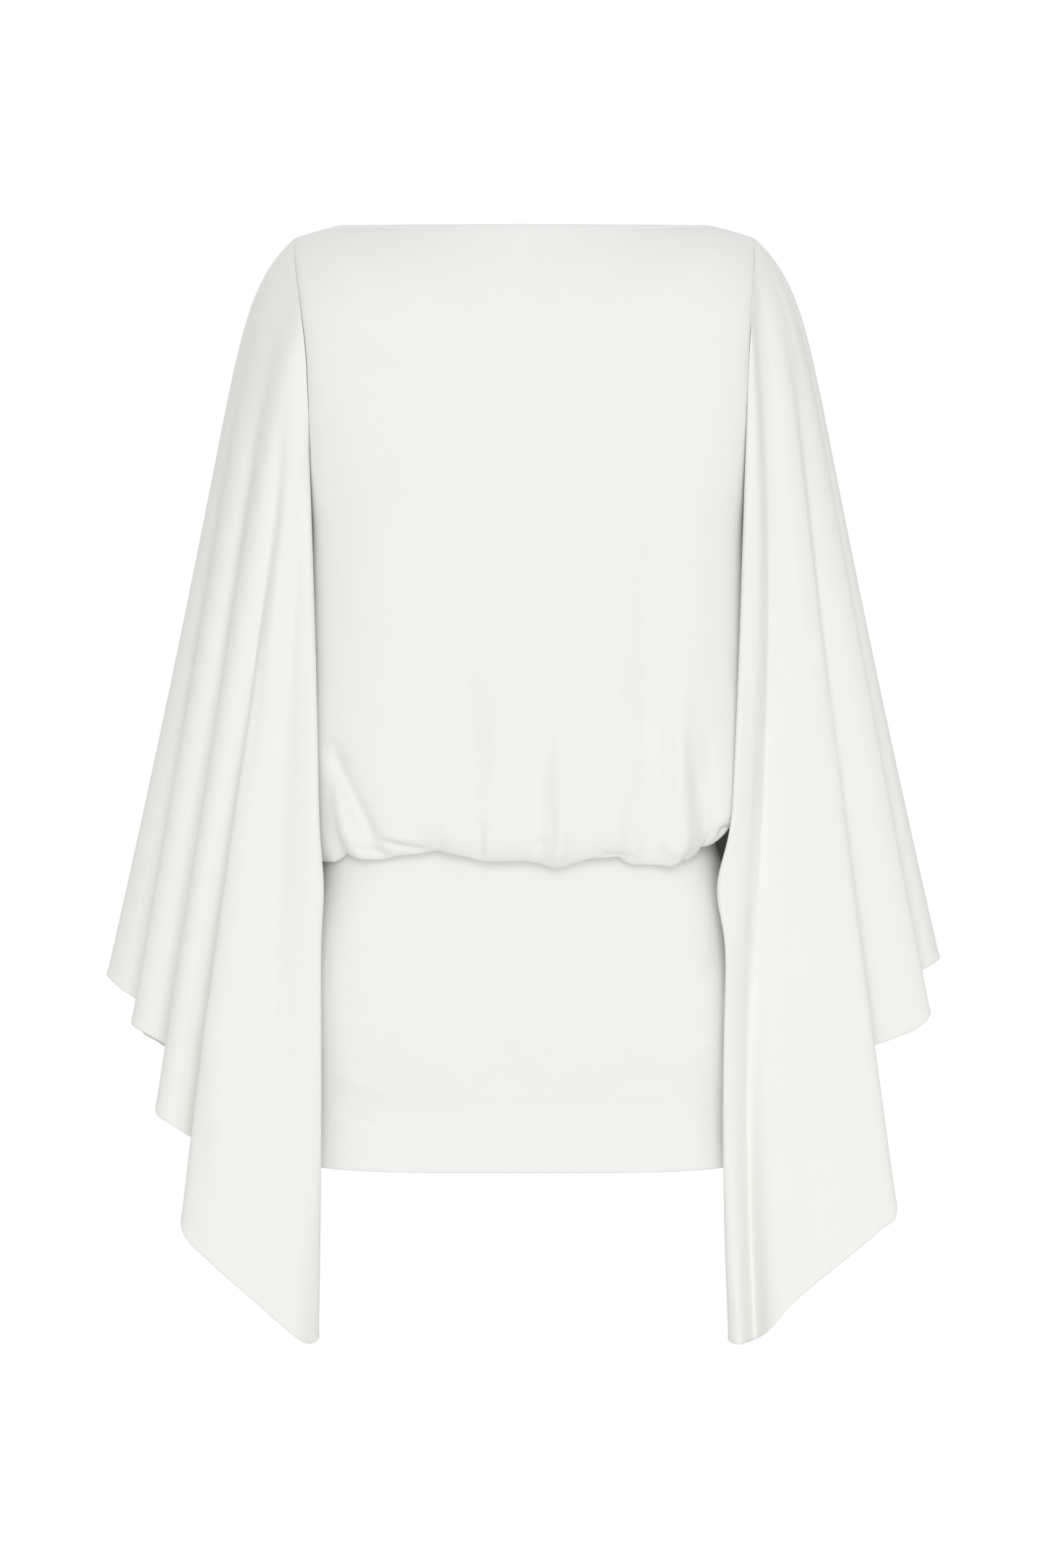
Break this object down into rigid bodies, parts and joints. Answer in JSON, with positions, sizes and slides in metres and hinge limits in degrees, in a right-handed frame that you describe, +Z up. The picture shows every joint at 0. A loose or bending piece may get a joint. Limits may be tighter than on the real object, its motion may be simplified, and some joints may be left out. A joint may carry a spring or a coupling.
{
  "type": "mini dress",
  "caption": "White mini dress, worn hollow form: wide boat neck, loose bodice blousing over a low waist seam, short straight skirt, long pleated cape sleeves with a slanting hem.",
  "frame": {"origin": "midway between the two shoulder tips at shoulder height, where the wearer's shoulders hold the dress", "axes": "+Z up, +X towards the wearer's right, +Y towards the garment's front, so that the side in the picture, the back, faces -Y"},
  "size_m": [0.7056, 0.267, 0.9355],
  "materials": {
    "crepe": "opaque white stretch crepe, smooth, soft matt sheen",
    "crepe_binding": "the same crepe turned over into a flat band"
  },
  "bodies": {
    "root": {"bodice_back": "crepe", "bodice_front": "crepe", "sleeve_left": "crepe", "sleeve_right": "crepe", "skirt_back": "crepe", "skirt_front": "crepe", "neck_binding": "crepe_binding"}
  },
  "joints": []
}
